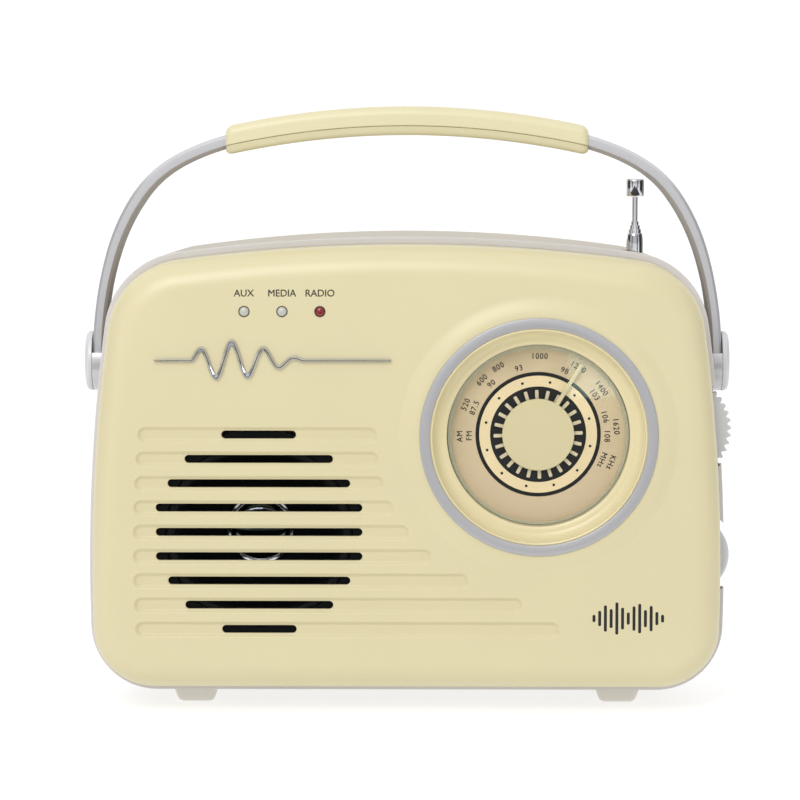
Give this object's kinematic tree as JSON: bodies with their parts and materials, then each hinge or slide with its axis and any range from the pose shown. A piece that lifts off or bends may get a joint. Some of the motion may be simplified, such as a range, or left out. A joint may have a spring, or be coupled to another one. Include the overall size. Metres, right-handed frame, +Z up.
{
  "type": "tabletop radio",
  "caption": "Retro tabletop radio: round tuning dial, slotted loudspeaker grille, swinging carrying handle, telescopic antenna and side thumbwheels.",
  "frame": {"origin": "on the surface that the feet stand on, under the middle of the radio's width and depth", "axes": "+X to the right seen from the front, +Y from the front to the back, +Z up"},
  "size_m": [0.2906, 0.105, 0.2661],
  "materials": {
    "cream_plastic": "satin moulded cream plastic",
    "grey_beige_plastic": "fine-textured light grey-beige plastic",
    "silver_plastic": "silver-painted plastic",
    "chromed_plastic": "bright chromed plastic",
    "chrome": "bright chrome plating",
    "steel": "zinc-plated steel",
    "clear_lens": "clear bevelled lens",
    "printed_plate": "printed beige scale plate",
    "black_plastic": "black plastic",
    "black_paper": "black pressed paper",
    "ferrite": "dark ferrite",
    "circuit_board": "brown circuit board",
    "copper": "enamelled copper wire",
    "lamp_grey": "frosted grey lamp",
    "lamp_red": "dark red lamp",
    "foot_rubber": "light grey-beige rubber"
  },
  "bodies": {
    "cabinet": {"front_shell": "cream_plastic", "rear_housing": "grey_beige_plastic", "dial_trim_ring": "silver_plastic", "dial_bezel": "cream_plastic", "dial_lens": "clear_lens", "dial_plate": "printed_plate", "dial_cord": "black_plastic", "front_emblem": "chromed_plastic", "led_aux": "lamp_grey", "led_media": "lamp_grey", "led_radio": "lamp_red", "speaker_frame": "steel", "speaker_cone": "black_paper", "speaker_dust_cap": "chromed_plastic", "speaker_magnet": "ferrite", "main_board": "circuit_board", "socket_board": "circuit_board", "tuning_capacitor": "steel", "volume_potentiometer": "steel", "ferrite_rod": "ferrite", "ferrite_coil": "copper", "power_transformer": "steel", "mains_inlet": "black_plastic", "usb_socket": "steel", "card_socket": "black_plastic", "aux_jack": "black_plastic", "battery_tray": "black_plastic", "antenna_guide": "black_plastic", "foot_front_left": "foot_rubber", "foot_front_right": "foot_rubber", "foot_rear_left": "foot_rubber", "foot_rear_right": "foot_rubber", "case_screw_1": "steel", "case_screw_2": "steel", "case_screw_3": "steel", "case_screw_4": "steel"},
    "handle": {"handle_strap": "silver_plastic", "handle_grip": "cream_plastic", "grip_liner": "cream_plastic", "hub_cap_left": "silver_plastic", "hub_cap_right": "silver_plastic", "pivot_pin_left": "steel", "pivot_pin_right": "steel"},
    "tuning": {"tuning_wheel": "grey_beige_plastic", "tuning_shaft": "steel"},
    "pointer": {"dial_pointer": "cream_plastic", "pointer_pulley": "black_plastic"},
    "volume": {"volume_wheel": "grey_beige_plastic"},
    "antenna_outer": {"antenna_tube_1": "chrome"},
    "antenna_second": {"antenna_tube_2": "chrome"},
    "antenna_third": {"antenna_tube_3": "chrome"},
    "antenna_fourth": {"antenna_tube_4": "chrome"},
    "antenna_top": {"antenna_rod": "chrome", "antenna_tip": "chrome"},
    "battery_door": {"battery_door": "grey_beige_plastic"},
    "function_switch": {"function_switch": "black_plastic"},
    "band_switch": {"band_switch": "black_plastic"},
    "button_previous": {"button_previous": "black_plastic"},
    "button_play": {"button_play": "black_plastic"},
    "button_next": {"button_next": "black_plastic"}
  },
  "joints": [
    {"name": "handle_tilt", "type": "hinge", "parent": "cabinet", "child": "handle", "pos_m": [0, 0.0049, 0.1519], "axis": [1, 0, 0], "range_deg": [-90, 30]},
    {"name": "tuning_turn", "type": "hinge", "parent": "cabinet", "child": "tuning", "pos_m": [0.12045, -0.0168, 0.1235], "axis": [0, 1, 0], "range_deg": [-240, 116]},
    {"name": "pointer_turn", "type": "hinge", "parent": "cabinet", "child": "pointer", "pos_m": [0.0579, -0.0406, 0.123], "axis": [0, 1, 0], "range_deg": [-121.5, 58.5]},
    {"name": "volume_turn", "type": "hinge", "parent": "cabinet", "child": "volume", "pos_m": [0.1267, -0.0168, 0.0672], "axis": [0, 1, 0], "range_deg": [-150, 130]},
    {"name": "antenna_lift", "type": "slide", "parent": "cabinet", "child": "antenna_outer", "axis": [0, 0, 1], "range_m": [0, 0.11]},
    {"name": "antenna_slide_2", "type": "slide", "parent": "antenna_outer", "child": "antenna_second", "axis": [0, 0, 1], "range_m": [0, 0.12]},
    {"name": "antenna_slide_3", "type": "slide", "parent": "antenna_second", "child": "antenna_third", "axis": [0, 0, 1], "range_m": [0, 0.12]},
    {"name": "antenna_slide_4", "type": "slide", "parent": "antenna_third", "child": "antenna_fourth", "axis": [0, 0, 1], "range_m": [0, 0.12]},
    {"name": "antenna_slide_top", "type": "slide", "parent": "antenna_fourth", "child": "antenna_top", "axis": [0, 0, 1], "range_m": [-0.0105, 0.12]},
    {"name": "battery_door_open", "type": "hinge", "parent": "cabinet", "child": "battery_door", "pos_m": [0, 0.0494, 0.0231], "axis": [-1, 0, 0], "range_deg": [0, 80]},
    {"name": "function_slide", "type": "slide", "parent": "cabinet", "child": "function_switch", "axis": [1, 0, 0], "range_m": [-0.008, 0]},
    {"name": "band_slide", "type": "slide", "parent": "cabinet", "child": "band_switch", "axis": [1, 0, 0], "range_m": [0, 0.006]},
    {"name": "previous_press", "type": "slide", "parent": "cabinet", "child": "button_previous", "axis": [0, -1, 0], "range_m": [0, 0.0015], "stiffness_N_per_m": 400},
    {"name": "play_press", "type": "slide", "parent": "cabinet", "child": "button_play", "axis": [0, -1, 0], "range_m": [0, 0.0015], "stiffness_N_per_m": 400},
    {"name": "next_press", "type": "slide", "parent": "cabinet", "child": "button_next", "axis": [0, -1, 0], "range_m": [0, 0.0015], "stiffness_N_per_m": 400}
  ],
  "couplings": [
    {"joint": "pointer_turn", "follows": "tuning_turn", "ratio": 0.5}
  ]
}
